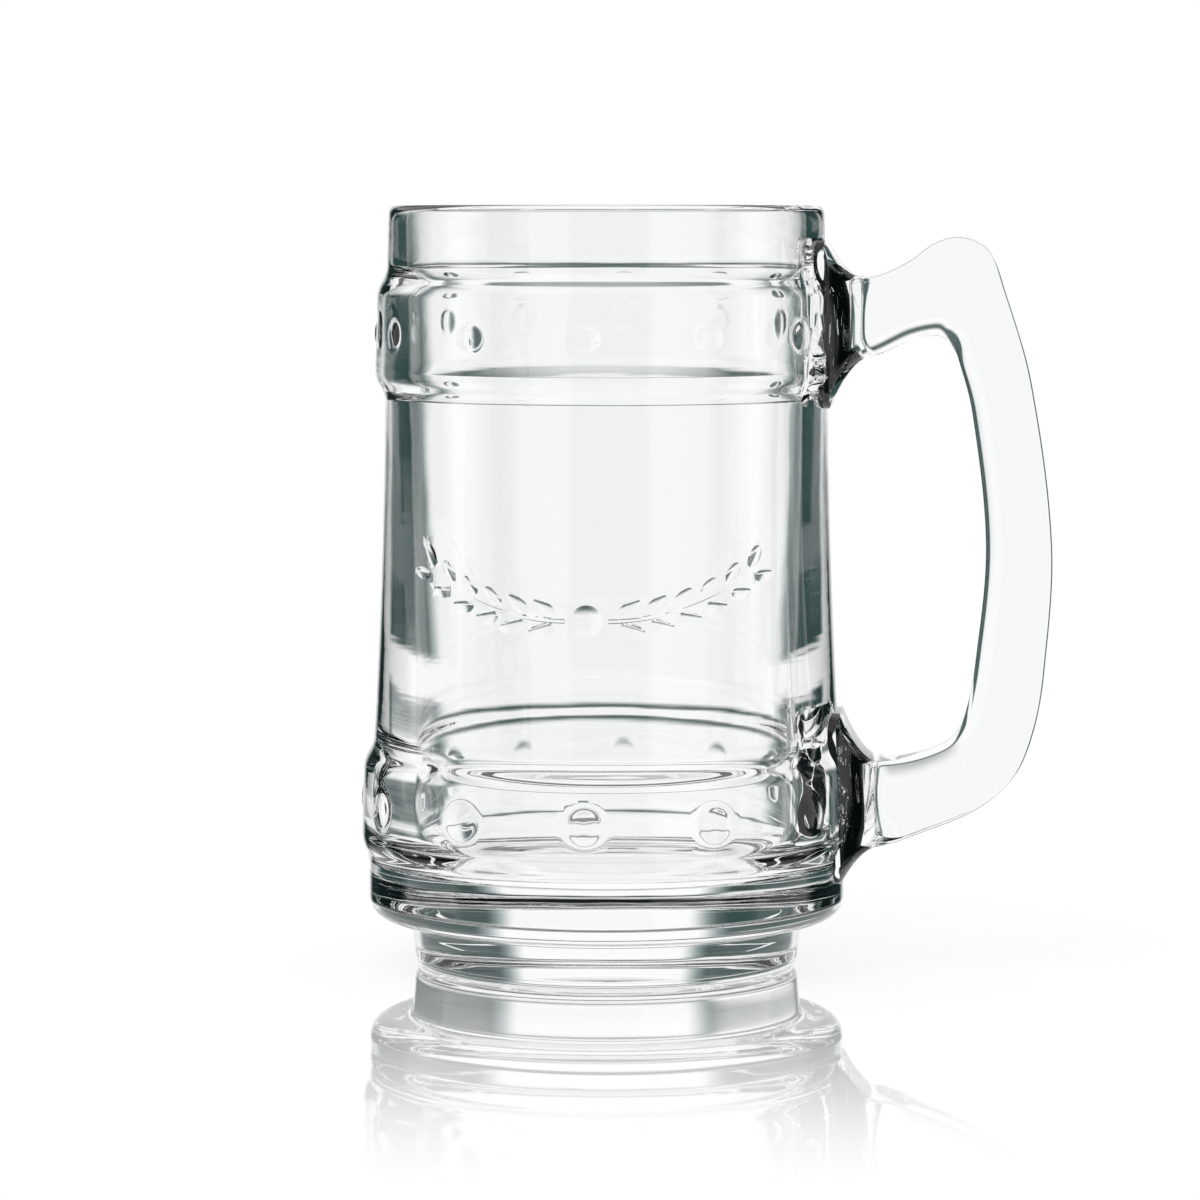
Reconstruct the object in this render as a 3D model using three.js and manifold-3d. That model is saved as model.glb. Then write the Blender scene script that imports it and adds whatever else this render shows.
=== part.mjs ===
// Glass tankard: a thick pressed bowl with two studded hoops and a stepped foot,
// and a loop handle whose two flared roots are fused to the hoops.
// Millimetres, +Z up. The handle points along +X, and the tankard stands on Z = 0.
import * as THREE from "three";
import { mergeVertices } from "three/addons/utils/BufferGeometryUtils.js";
import Module from "manifold-3d";

// Bowl, outside: heights run up from the table, radii out from the bowl's axis
const HEIGHT = 140;
const FOOT_HEIGHT = 9;
const FOOT_BASE_RADIUS = 35.3;
const FOOT_TOP_RADIUS = 36.1;
const FOOT_EDGE_ROUND = 2;
const FOOT_NECK_ROUND = 1.2;
const RECESS_RADIUS = 28;
const RECESS_DEPTH = 1.2;
const RECESS_EDGE_ROUND = 4;
const BAND_HEIGHT = 11.4;
const BAND_RADIUS = 43.9;
const BAND_EDGE_ROUND = 4;
const LOWER_HOOP_HEIGHT = 20.6;
const LOWER_HOOP_BASE_RADIUS = 45.2;
const LOWER_HOOP_TOP_RADIUS = 44.8;
const WAIST_BASE_RADIUS = 43;
const WAIST_TOP_RADIUS = 40.65;
const WAIST_BOW = 0.8;
const WAIST_BOW_RADIUS = 1000;
const UPPER_HOOP_HEIGHT = 22;
const UPPER_HOOP_BASE_RADIUS = 42.5;
const UPPER_HOOP_TOP_RADIUS = 42;
const NECK_HEIGHT = 12.4;
const NECK_BASE_RADIUS = 40.3;
const LIP_RADIUS = 39.9;
const LIP_ROUND = 1.45;
const HOOP_STEP_RISE = 2.9;
const HOOP_EDGE_ROUND = 1.8;
const HOOP_FOOT_ROUND = 1.8;

// Bowl, inside: the cavity narrows downwards, as the plunger that pressed it does
const MOUTH_RADIUS = 36.9;
const FLOOR_RADIUS = 35;
const FLOOR_THICKNESS = 18;
const FLOOR_CORNER_ROUND = 9;

// Studs: one place in each ring of studs is taken by the handle
const STUD_PLACES = 12;
const UPPER_STUD_DIAMETER = 4.8;
const UPPER_STUD_RISE = 0.65;
const LOWER_STUD_DIAMETER = 6.4;
const LOWER_STUD_RISE = 0.6;
const STUD_ROOT_DEPTH = 1.2;

// Handle: a flat-sided bar bent into a loop
const HANDLE_REACH = 81.7;
const HANDLE_THICKNESS = 14;
const HANDLE_EDGE_ROUND = 1.2;
const GRIP_DEPTH = 12;
const UPPER_ARM_DEPTH = 15;
const LOWER_ARM_DEPTH = 15.6;
const SHOULDER_RISE = 7.1;
const UPPER_ARM_RAISE = 3.2;
const ROOT_RUN = 5.4;
const ROOT_FLARE_OUT = 6.5;
const ROOT_FLARE_IN = 9;
const ROOT_FLARE_SIDE = 5;
const ROOT_FLARE_POWER = 1.6;
const ROOT_SET_BACK_OUT = 1.7;
const ROOT_SET_BACK_IN = 1;
const ROOT_SINK = 6;
const FUSED_GAP = 0.3;

// Facets
const TURN_STEPS = 48;
const ARC_STEP = THREE.MathUtils.degToRad(30);
const DISH_STEPS = 4;
const STUD_SIDES = 12;
const STUD_RINGS = 3;
const HANDLE_STEPS = 48;
const CORNER_STEPS = 4;

// Heights that follow from the driving dimensions
const lowerHoopBase = FOOT_HEIGHT + BAND_HEIGHT;
const lowerHoopTop = lowerHoopBase + LOWER_HOOP_HEIGHT;
const upperHoopTop = HEIGHT - NECK_HEIGHT;
const upperHoopBase = upperHoopTop - UPPER_HOOP_HEIGHT;
const lowerHoopMiddle = (lowerHoopBase + lowerHoopTop) / 2;
const upperHoopMiddle = (upperHoopBase + upperHoopTop) / 2;
const lowerHoopRadius = (LOWER_HOOP_BASE_RADIUS + LOWER_HOOP_TOP_RADIUS) / 2;
const upperHoopRadius = (UPPER_HOOP_BASE_RADIUS + UPPER_HOOP_TOP_RADIUS) / 2;

const wasm = await Module();
wasm.setup();

// A closed three.js geometry as a solid that can be joined and cut
function solidOf(geometry) {
  const bare = new THREE.BufferGeometry();
  bare.setAttribute("position", geometry.getAttribute("position"));
  bare.setIndex(geometry.getIndex());
  const merged = mergeVertices(bare, 1e-4);
  const corners = Array.from(merged.getIndex().array);
  const triangles = [];
  for (let i = 0; i < corners.length; i += 3) {
    const [a, b, c] = corners.slice(i, i + 3);
    if (a !== b && b !== c && c !== a) triangles.push(a, b, c);
  }
  const mesh = new wasm.Mesh({
    numProp: 3,
    vertProperties: merged.getAttribute("position").array,
    triVerts: new Uint32Array(triangles),
  });
  return new wasm.Manifold(mesh);
}

function geometryOf(solid) {
  const mesh = solid.getMesh();
  const geometry = new THREE.BufferGeometry();
  geometry.setAttribute("position", new THREE.BufferAttribute(mesh.vertProperties, 3));
  geometry.setIndex(new THREE.BufferAttribute(mesh.triVerts, 1));
  geometry.computeVertexNormals();
  return geometry;
}

// The points of an outline whose corners, given as [radius, height, round], are rounded by arcs
function roundedOutline(corners) {
  const points = [];
  corners.forEach(([r, z, round], i) => {
    const corner = new THREE.Vector2(r, z);
    if (!round) {
      points.push(corner);
      return;
    }
    const back = new THREE.Vector2(...corners[i - 1].slice(0, 2)).sub(corner);
    const ahead = new THREE.Vector2(...corners[i + 1].slice(0, 2)).sub(corner);
    const room = Math.min(back.length(), ahead.length()) / 2;
    back.normalize();
    ahead.normalize();
    const half = Math.acos(THREE.MathUtils.clamp(back.dot(ahead), -1, 1)) / 2;
    const radius = Math.min(round, room * Math.tan(half));
    const middle = back.clone().add(ahead).normalize();
    const centre = corner.clone().addScaledVector(middle, radius / Math.sin(half));
    const start = corner.clone().addScaledVector(back, radius / Math.tan(half)).sub(centre);
    const end = corner.clone().addScaledVector(ahead, radius / Math.tan(half)).sub(centre);
    const sweep = Math.atan2(start.cross(end), start.dot(end));
    const steps = Math.max(1, Math.ceil(Math.abs(sweep) / ARC_STEP));
    for (let k = 0; k <= steps; k++) {
      const turned = start.clone().rotateAround(new THREE.Vector2(), (sweep * k) / steps);
      points.push(turned.add(centre));
    }
  });
  return points;
}

// The shallow dish under the foot, from the axis out to the resting ring
function recessOutline() {
  const radius = (RECESS_RADIUS ** 2 + RECESS_DEPTH ** 2) / (2 * RECESS_DEPTH);
  const reach = Math.asin(RECESS_RADIUS / radius);
  const points = [];
  for (let k = 0; k < DISH_STEPS; k++) {
    const angle = (reach * k) / DISH_STEPS;
    points.push([radius * Math.sin(angle), RECESS_DEPTH - radius * (1 - Math.cos(angle)), 0]);
  }
  return points;
}

// The outside of the bowl from the resting ring up to the lip, each radius grown by a margin
function outsideCorners(grow = 0) {
  const waistMiddle = (lowerHoopTop + upperHoopBase) / 2;
  const waistRadius = (WAIST_BASE_RADIUS + WAIST_TOP_RADIUS) / 2 - WAIST_BOW;
  const corners = [
    [FOOT_BASE_RADIUS, 0, FOOT_EDGE_ROUND],
    [FOOT_TOP_RADIUS, FOOT_HEIGHT, FOOT_NECK_ROUND],
    [BAND_RADIUS, FOOT_HEIGHT, BAND_EDGE_ROUND],
    [BAND_RADIUS, lowerHoopBase, HOOP_FOOT_ROUND],
    [LOWER_HOOP_BASE_RADIUS, lowerHoopBase + HOOP_STEP_RISE, HOOP_EDGE_ROUND],
    [LOWER_HOOP_TOP_RADIUS, lowerHoopTop - HOOP_STEP_RISE, HOOP_EDGE_ROUND],
    [WAIST_BASE_RADIUS, lowerHoopTop, HOOP_FOOT_ROUND],
    [waistRadius, waistMiddle, WAIST_BOW_RADIUS],
    [WAIST_TOP_RADIUS, upperHoopBase, HOOP_FOOT_ROUND],
    [UPPER_HOOP_BASE_RADIUS, upperHoopBase + HOOP_STEP_RISE, HOOP_EDGE_ROUND],
    [UPPER_HOOP_TOP_RADIUS, upperHoopTop - HOOP_STEP_RISE, HOOP_EDGE_ROUND],
    [NECK_BASE_RADIUS, upperHoopTop, HOOP_FOOT_ROUND],
    [LIP_RADIUS, HEIGHT, LIP_ROUND],
  ];
  return corners.map(([r, z, round]) => [r + grow, z, round]);
}

// A solid turned about +Z from an outline of radii and heights that starts and ends on the axis
function turned(outline, steps) {
  const geometry = new THREE.LatheGeometry(outline, steps);
  geometry.rotateX(Math.PI / 2);
  return solidOf(geometry);
}

// A domed stud on a short root, standing on Z = 0
function studGeometry(diameter, rise) {
  const radius = diameter / 2;
  const dome = (radius ** 2 + rise ** 2) / (2 * rise);
  const reach = Math.asin(radius / dome);
  const outline = [new THREE.Vector2(0, -STUD_ROOT_DEPTH), new THREE.Vector2(radius, -STUD_ROOT_DEPTH)];
  for (let k = STUD_RINGS; k >= 0; k--) {
    const angle = (reach * k) / STUD_RINGS;
    outline.push(new THREE.Vector2(dome * Math.sin(angle), rise - dome * (1 - Math.cos(angle))));
  }
  const geometry = new THREE.LatheGeometry(outline, STUD_SIDES);
  return geometry.rotateX(Math.PI / 2);
}

// One ring of studs round a hoop, with the handle's own place left free
function studRing(diameter, rise, hoopRadius, height) {
  const studs = [];
  for (let place = 1; place < STUD_PLACES; place++) {
    const stud = studGeometry(diameter, rise);
    stud.rotateY(Math.PI / 2);
    stud.translate(hoopRadius, 0, height);
    stud.rotateZ((2 * Math.PI * place) / STUD_PLACES);
    studs.push(solidOf(stud));
  }
  return studs;
}

function bowlSolid() {
  const outline = roundedOutline([
    ...recessOutline(),
    [RECESS_RADIUS, 0, RECESS_EDGE_ROUND],
    ...outsideCorners(),
    [MOUTH_RADIUS, HEIGHT, LIP_ROUND],
    [FLOOR_RADIUS, FLOOR_THICKNESS, FLOOR_CORNER_ROUND],
    [0, FLOOR_THICKNESS, 0],
  ]);
  const studs = [
    ...studRing(UPPER_STUD_DIAMETER, UPPER_STUD_RISE, upperHoopRadius, upperHoopMiddle),
    ...studRing(LOWER_STUD_DIAMETER, LOWER_STUD_RISE, lowerHoopRadius, lowerHoopMiddle),
  ];
  return studs.reduce((bowl, stud) => bowl.add(stud), turned(outline, TURN_STEPS));
}

// The side outline of the loop: knots on its outer edge, each with the knot across from it on the
// inner edge, from the upper root to the lower one, as points of [x, z]
function handleKnots() {
  const upperZ = upperHoopMiddle + UPPER_ARM_RAISE;
  const lowerZ = lowerHoopMiddle;
  const upperTop = upperZ + UPPER_ARM_DEPTH / 2;
  const upperUnder = upperZ - UPPER_ARM_DEPTH / 2;
  const lowerTop = lowerZ + LOWER_ARM_DEPTH / 2;
  const lowerUnder = lowerZ - LOWER_ARM_DEPTH / 2;
  const gripInside = HANDLE_REACH - GRIP_DEPTH;
  const overArm = (share) => THREE.MathUtils.lerp(upperHoopRadius, HANDLE_REACH, share);
  const belowArm = (share) => THREE.MathUtils.lerp(upperHoopRadius, gripInside, share);
  const underLow = (share) => THREE.MathUtils.lerp(lowerHoopRadius, HANDLE_REACH, share);
  const aboveLow = (share) => THREE.MathUtils.lerp(lowerHoopRadius, gripInside, share);
  const outerZ = (share) => THREE.MathUtils.lerp(lowerUnder, upperTop, share);
  const innerZ = (share) => THREE.MathUtils.lerp(lowerTop, upperUnder, share);
  return [
    [[upperHoopRadius - ROOT_SINK, upperTop], [upperHoopRadius - ROOT_SINK, upperUnder]],
    [[overArm(0.17), upperTop], [belowArm(0.22), upperUnder]],
    [[overArm(0.33), upperTop + 0.36 * SHOULDER_RISE], [belowArm(0.47), upperUnder + 0.4 * SHOULDER_RISE]],
    [[overArm(0.46), upperTop + 0.86 * SHOULDER_RISE], [belowArm(0.61), upperUnder + 0.54 * SHOULDER_RISE]],
    [[overArm(0.58), upperTop + SHOULDER_RISE], [belowArm(0.695), upperUnder + 0.54 * SHOULDER_RISE]],
    [[overArm(0.7), upperTop + 0.66 * SHOULDER_RISE], [belowArm(0.765), upperUnder + 0.32 * SHOULDER_RISE]],
    [[overArm(0.775), outerZ(0.976)], [belowArm(0.81), innerZ(0.998)]],
    [[overArm(0.9), outerZ(0.815)], [belowArm(0.905), innerZ(0.865)]],
    [[HANDLE_REACH, outerZ(0.53)], [gripInside, innerZ(0.54)]],
    [[underLow(0.965), outerZ(0.306)], [aboveLow(0.93), innerZ(0.255)]],
    [[underLow(0.915), outerZ(0.205)], [aboveLow(0.86), innerZ(0.125)]],
    [[underLow(0.82), outerZ(0.125)], [aboveLow(0.775), innerZ(0.06)]],
    [[underLow(0.64), outerZ(0.068)], [aboveLow(0.63), innerZ(0.03)]],
    [[underLow(0.37), outerZ(0.026)], [aboveLow(0.39), innerZ(0.007)]],
    [[underLow(0.14), lowerUnder], [aboveLow(0.15), lowerTop]],
    [[lowerHoopRadius - ROOT_SINK, lowerUnder], [lowerHoopRadius - ROOT_SINK, lowerTop]],
  ];
}

// How far a root of the handle swells beyond the bar, at a distance from the wall that it meets
function swellAt(distance, flare) {
  const near = THREE.MathUtils.clamp(1 - distance / ROOT_RUN, 0, 1);
  return flare * near ** ROOT_FLARE_POWER;
}

// How far the sides of a root swell, where the round wall falls away from the middle of the root
function sideSwellAt(x, wallRadius) {
  const half = HANDLE_THICKNESS / 2;
  let swell = 0;
  for (let pass = 0; pass < 6; pass++) {
    const wall = Math.sqrt(wallRadius ** 2 - (half + swell) ** 2);
    swell = swellAt(x - wall, ROOT_FLARE_SIDE);
  }
  return swell;
}

// A rectangle with rounded corners, as points of [in the plane of the loop, across it]
function barSection(depth, thickness) {
  const round = Math.min(HANDLE_EDGE_ROUND, depth / 2.1, thickness / 2.1);
  const points = [];
  for (let corner = 0; corner < 4; corner++) {
    const signX = corner === 0 || corner === 3 ? 1 : -1;
    const signY = corner < 2 ? 1 : -1;
    for (let k = 0; k <= CORNER_STEPS; k++) {
      const angle = (Math.PI / 2) * (corner + k / CORNER_STEPS);
      const x = signX * (depth / 2 - round) + round * Math.cos(angle);
      const y = signY * (thickness / 2 - round) + round * Math.sin(angle);
      points.push([x, y]);
    }
  }
  return points;
}

// The loop's cross-sections, each spanning from the outer edge to the inner one
function handleRings() {
  const knots = handleKnots();
  const outerEdge = new THREE.CatmullRomCurve3(knots.map(([[x, z]]) => new THREE.Vector3(x, 0, z)));
  const innerEdge = new THREE.CatmullRomCurve3(knots.map(([, [x, z]]) => new THREE.Vector3(x, 0, z)));
  const rings = [];
  for (let i = 0; i <= HANDLE_STEPS; i++) {
    const at = i / HANDLE_STEPS;
    const upper = at < 0.5;
    const outer = outerEdge.getPoint(at);
    const inner = innerEdge.getPoint(at);
    const out = outer.clone().sub(inner).normalize();
    const middle = outer.clone().add(inner).divideScalar(2);
    const outerWall = (upper ? UPPER_HOOP_TOP_RADIUS : LOWER_HOOP_BASE_RADIUS) - ROOT_SET_BACK_OUT;
    const innerWall = (upper ? UPPER_HOOP_BASE_RADIUS : LOWER_HOOP_TOP_RADIUS) - ROOT_SET_BACK_IN;
    outer.addScaledVector(out, swellAt(outer.x - outerWall, ROOT_FLARE_OUT));
    inner.addScaledVector(out, -swellAt(inner.x - innerWall, ROOT_FLARE_IN));
    const side = sideSwellAt(middle.x, upper ? upperHoopRadius : lowerHoopRadius);
    const section = barSection(outer.distanceTo(inner), HANDLE_THICKNESS + 2 * side);
    const centre = outer.add(inner).divideScalar(2);
    rings.push(section.map(([d, y]) => centre.clone().addScaledVector(out, d).setY(y)));
  }
  return rings;
}

// A closed skin over a row of rings that have equally many points, with a fan over each end
function loftGeometry(rings) {
  const sides = rings[0].length;
  const points = rings.flat();
  const faces = [];
  for (let i = 0; i + 1 < rings.length; i++) {
    for (let k = 0; k < sides; k++) {
      const a = i * sides + k;
      const b = i * sides + ((k + 1) % sides);
      faces.push(a, b + sides, b, a, a + sides, b + sides);
    }
  }
  const last = (rings.length - 1) * sides;
  for (let k = 1; k + 1 < sides; k++) {
    faces.push(0, k, k + 1);
    faces.push(last, last + k + 1, last + k);
  }
  return new THREE.BufferGeometry().setFromPoints(points).setIndex(faces);
}

function handleSolid() {
  const bar = solidOf(loftGeometry(handleRings()));
  const corners = outsideCorners(FUSED_GAP);
  const plug = roundedOutline([[0, 0, 0], ...corners, [0, HEIGHT, 0]]);
  return bar.subtract(turned(plug, TURN_STEPS));
}

function glassMesh(name, solid, colour) {
  const glass = new THREE.MeshStandardMaterial({
    color: colour,
    roughness: 0.03,
    metalness: 0,
    transparent: true,
    opacity: 0.35,
  });
  const mesh = new THREE.Mesh(geometryOf(solid), glass);
  mesh.name = name;
  return mesh;
}

// The origin is the middle of the tankard's footprint on the table
const pieces = new THREE.Group();
pieces.add(glassMesh("bowl", bowlSolid(), 0xe6efec));
pieces.add(glassMesh("handle", handleSolid(), 0xe9f1ee));
const middle = new THREE.Box3().setFromObject(pieces).getCenter(new THREE.Vector3());
pieces.position.set(-middle.x, -middle.y, 0);

const tankard = new THREE.Group();
tankard.add(pieces);

export default tankard;
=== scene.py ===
"""Looks of a pressed-glass tankard with two studded hoops and a fused loop handle."""

import math

import bmesh
import bpy
from mathutils import Matrix, Vector
from mathutils.geometry import interpolate_bezier


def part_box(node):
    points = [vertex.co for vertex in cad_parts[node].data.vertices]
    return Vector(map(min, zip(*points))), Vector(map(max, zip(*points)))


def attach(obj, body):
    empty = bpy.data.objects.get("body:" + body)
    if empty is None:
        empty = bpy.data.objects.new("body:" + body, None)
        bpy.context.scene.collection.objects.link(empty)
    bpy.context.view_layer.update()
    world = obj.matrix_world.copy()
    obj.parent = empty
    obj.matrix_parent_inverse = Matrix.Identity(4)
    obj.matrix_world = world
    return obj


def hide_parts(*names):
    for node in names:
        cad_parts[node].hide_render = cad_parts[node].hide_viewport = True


bl_info = {
    "name": "Glass Tankard",
    "version": (1, 0, 0),
    "blender": (4, 5, 0),
    "location": "View3D > Sidebar > Tankard",
    "description": "Builds a pressed-glass tankard and the table that it stands on",
    "category": "Add Mesh",
}

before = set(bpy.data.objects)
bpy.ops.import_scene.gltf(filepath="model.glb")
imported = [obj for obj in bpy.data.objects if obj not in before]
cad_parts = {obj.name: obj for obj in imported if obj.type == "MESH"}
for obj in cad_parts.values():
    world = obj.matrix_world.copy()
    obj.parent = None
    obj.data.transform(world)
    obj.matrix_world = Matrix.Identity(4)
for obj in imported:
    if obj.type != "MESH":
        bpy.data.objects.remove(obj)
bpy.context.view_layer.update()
BOWL_LOW, BOWL_HIGH = (Vector(corner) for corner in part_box("bowl"))
HANDLE_HIGH = Vector(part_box("handle")[1])
# Studs stand out on both sides of the bowl in Y and opposite the handle, so half its breadth gives the axis
AXIS = Vector((BOWL_LOW.x + (BOWL_HIGH.y - BOWL_LOW.y) / 2, 0, 0))
HEIGHT = BOWL_HIGH.z
REACH = HANDLE_HIGH.x - AXIS.x
MM = 0.001

# A raised form on the wall, in shares of its diameter: flat crown, end of the slope and end of the skirt
CROWN, SLOPE, SKIRT = 0.22, 0.62, 0.8
# How far the end of its skirt and the bottom of its root lie under the wall
SKIRT_SINK, FORM_ROOT = 0.03 * MM, 1.2 * MM
# How many of its diameters a form measures across at the wall, where its slope ends
WHOLE_BREADTH = 2 * SLOPE

# A kernel of barley: its set from the stalk in kernel widths, its lean from the stalk and how much it tapers
KERNEL_SET, KERNEL_LEAN, KERNEL_TAPER = 0.6, math.radians(24), 0.22
# How far along the stalk the first kernel grows
FIRST_KERNEL = 0.14

# The section of the handle: where its flat sides begin and end, from outside to inside, and their rounding
RIDGES, RIDGE_ROUND = (0.3, 0.62), 0.13
# The roots of the handle: how steeply they swell, and how much of the swelling also rounds their edges
ROOT_CURVE, ROOT_EDGE_SHARE = 1.8, 0.6
# How far a root's outside and inside start behind the wall, so that they meet it at full breadth
SET_BACK_OUT, SET_BACK_IN = 1.7 * MM, 1 * MM
# How far the ends of the handle reach into the wall before they are cut to it
ROOT_SINK = 6 * MM
# How upright a section stands where the rounding under the upper arm starts and how soon it is full, and the
# most that any edge is rounded
UNDER_ARM_START, UNDER_ARM_RUN, WIDEST_ROUND = 0.8, 0.18, 3.9 * MM

# The table: where its shadow and its sheen end, where they are full, and how strong they are there
TABLE_RADIUS, TABLE_SINK = 0.65, 0.3 * MM
SHADOW_END, SHADOW_FULL, SHADOW_SHARE = 0.22, 0.05, 0.45
SHEEN_END, SHEEN_FULL, SHEEN_SHARE = 0.215, 0.04, 0.74
# The lit parts of it that the glass sees, each faded in from one distance to another: a disc under the foot,
# and a strip with a near, a far and a side edge
DISC, STRIP_NEAR, STRIP_FAR, STRIP_SIDE = (0.1, 0.07), (0.235, 0.255), (0.325, 0.3), (-0.02, 0.03)
# The cards round the table, which glow dark as painted shade, with the headings of the gaps between them
# from +Y towards +X, and each gap's lowest and highest level, in degrees
CARDS_RADIUS = 12
CARDS_MIDDLE = AXIS + Vector((0, 0, HEIGHT / 2))
GAPS = ((-4, 0, 17), (-90, 0, 17), (135, 0, 30), (80, 0, 17), (-45, 14, 38))
# How far from its middle a gap ends and is wide open, and the same for the painted light on the edges of the
# cards
GAP_SIDE, PAINTED_LIGHT_SIDE = (20.5, 15.5), (23, 19)
GAP_SOFTNESS = 4
# Levels over which the cards open above and below, and headings over which their painted light grows towards
# the camera
OPEN_ABOVE, OPEN_BELOW, PAINTED_LIGHT_HEADINGS = (23, 33), (-21, -28), (110, 165)

# The camera, placed from the tankard's axis
CAMERA_LENS, CAMERA_SENSOR = 143, 36
CAMERA_TURN, CAMERA_PITCH = math.radians(5), math.radians(4.63)
CAMERA_BACK, CAMERA_UP, CAMERA_LEFT = 0.877, 0.1384, 0.0012


def length(name, description, default):
    """A length in metres, shown in the scene's own unit."""
    return bpy.props.FloatProperty(
        name=name, description=description, default=default, unit="LENGTH", subtype="DISTANCE", precision=5
    )


def colour(name, description, default):
    """A plain colour."""
    return bpy.props.FloatVectorProperty(
        name=name, description=description, default=default, size=3, min=0, max=1, subtype="COLOR"
    )


class TankardBowlSizes(bpy.types.PropertyGroup):
    """Sizes of the bowl, up from the table and out from its axis"""

    height: length("Height", "From the table to the lip", HEIGHT)
    foot_height: length("Foot height", "From the table to the lower band", 9 * MM)
    foot_base_radius: length("Foot base radius", "Foot at the table", 35.3 * MM)
    foot_top_radius: length("Foot top radius", "Foot under the lower band", 36.1 * MM)
    recess_radius: length("Recess radius", "Dish under the foot", 28 * MM)
    recess_depth: length("Recess depth", "Depth of the dish under the foot", 1.2 * MM)
    band_height: length("Lower band height", "From the foot to the lower hoop", 11.4 * MM)
    band_radius: length("Lower band radius", "Band between foot and lower hoop", 43.9 * MM)
    lower_hoop_height: length("Lower hoop height", "With both of its steps", 20.6 * MM)
    lower_hoop_base_radius: length("Lower hoop base radius", "Lower edge of the hoop", 45.2 * MM)
    lower_hoop_top_radius: length("Lower hoop top radius", "Upper edge of the hoop", 44.8 * MM)
    waist_base_radius: length("Waist base radius", "Waist above the lower hoop", 43 * MM)
    waist_middle_radius: length("Waist middle radius", "Waist at half its height", 41.05 * MM)
    waist_top_radius: length("Waist top radius", "Waist below the upper hoop", 40.65 * MM)
    upper_hoop_height: length("Upper hoop height", "With both of its steps", 22 * MM)
    upper_hoop_base_radius: length("Upper hoop base radius", "Lower edge of the hoop", 42.5 * MM)
    upper_hoop_top_radius: length("Upper hoop top radius", "Upper edge of the hoop", 42 * MM)
    neck_height: length("Neck height", "From the upper hoop to the lip", 12.4 * MM)
    neck_radius: length("Neck radius", "Neck above the upper hoop", 40.3 * MM)
    lip_radius: length("Lip radius", "Outside of the lip", 39.9 * MM)
    step_rise: length("Step rise", "Height of the step at each edge of a hoop", 2.9 * MM)
    mouth_radius: length("Mouth radius", "Inside of the lip", 36.9 * MM)
    floor_radius: length("Floor radius", "Inside at the floor, before its corner is rounded", 35 * MM)
    floor_thickness: length("Floor thickness", "Glass under the drink", 18 * MM)
    floor_corner: length("Floor corner", "Rounding where floor and wall meet", 9 * MM)


class TankardStudSizes(bpy.types.PropertyGroup):
    """Sizes of the studs on both hoops"""

    places: bpy.props.IntProperty(
        name="Places", description="Places round a hoop, one of them taken by the handle", default=12, min=3
    )
    upper_diameter: length("Upper diameter", "Studs on the upper hoop", 4.8 * MM)
    upper_rise: length("Upper rise", "How far the upper studs stand out", 0.65 * MM)
    lower_diameter: length("Lower diameter", "Studs on the lower hoop", 6.4 * MM)
    lower_rise: length("Lower rise", "How far the lower studs stand out", 0.6 * MM)


class TankardReliefSizes(bpy.types.PropertyGroup):
    """Sizes of the swag of barley on the front of the waist"""

    swag_width: length("Swag width", "From tip to tip, measured round the bowl", 66 * MM)
    swag_height: length("Swag height", "Middle of the swag above the table", 67 * MM)
    swag_sag: length("Swag sag", "How far the tips stand above the middle", 9 * MM)
    kernels: bpy.props.IntProperty(
        name="Kernels", description="Kernels along either edge of an ear", default=6, min=2
    )
    kernel_length: length("Kernel length", "A kernel from end to end", 6.8 * MM)
    kernel_width: length("Kernel width", "A kernel at its widest", 3.4 * MM)
    kernel_rise: length("Kernel rise", "How far a kernel stands out", 0.65 * MM)
    stalk_width: length("Stalk width", "A stalk at its foot", 1.3 * MM)
    boss_diameter: length("Boss diameter", "The round boss in the middle", 7 * MM)


class TankardHandleSizes(bpy.types.PropertyGroup):
    """Sizes of the handle"""

    reach: length("Reach", "From the bowl's axis to the back of the grip", REACH)
    thickness: length("Thickness", "Across the loop", 14 * MM)
    outer_bevel: length("Outer bevel", "How far either face falls away to the outside of the loop", 0.4 * MM)
    inner_bevel: length("Inner bevel", "How far either face falls away to the inside of the loop", 0.85 * MM)
    outer_edge_round: length("Outer edge rounding", "Long edges on the outside of the loop", 0.5 * MM)
    inner_edge_round: length("Inner edge rounding", "Long edges on the inside of the loop", 0.9 * MM)
    under_arm_round: length("Under the arm", "Extra rounding of the edges under the upper arm", 2.7 * MM)
    grip_depth: length("Grip depth", "Grip in the plane of the loop", 12 * MM)
    upper_arm_depth: length("Upper arm depth", "Upper arm in the plane of the loop", 15 * MM)
    lower_arm_depth: length("Lower arm depth", "Lower arm in the plane of the loop", 15.6 * MM)
    upper_arm_raise: length("Upper arm raise", "Upper arm above the middle of the upper hoop", 3.2 * MM)
    shoulder_rise: length("Shoulder rise", "Hump of the loop above its upper arm", 7.1 * MM)
    root_edge_run: length("Root edge run", "Distance from the wall where its edges start to swell", 9.5 * MM)
    root_run: length("Root run", "Distance from the wall at which a root starts to swell", 6.5 * MM)
    root_flare_out: length("Root flare, outside", "Swelling away from the gap for the fingers", 6.5 * MM)
    root_flare_in: length("Root flare, inside", "Swelling towards the gap for the fingers", 9 * MM)
    root_flare_side: length("Root flare, sides", "Swelling to either side of the loop", 5 * MM)


class TankardLook(bpy.types.PropertyGroup):
    """Colours of the glass and of the table, and the painted shade and painted light of the cards"""

    glass: colour("Glass", "Tint of the glass", (0.988, 0.996, 0.993))
    table: colour("Table", "Table and background", (1, 1, 1))
    # The cards glow in painted shade, and their edges in paler painted light
    painted_card_shade: colour("Cards", "Dark cards that the glass bends into view", (0.033, 0.066, 0.064))
    painted_card_light: colour("Card edges", "Paler edges of the cards", (0.25, 0.318, 0.31))


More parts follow.
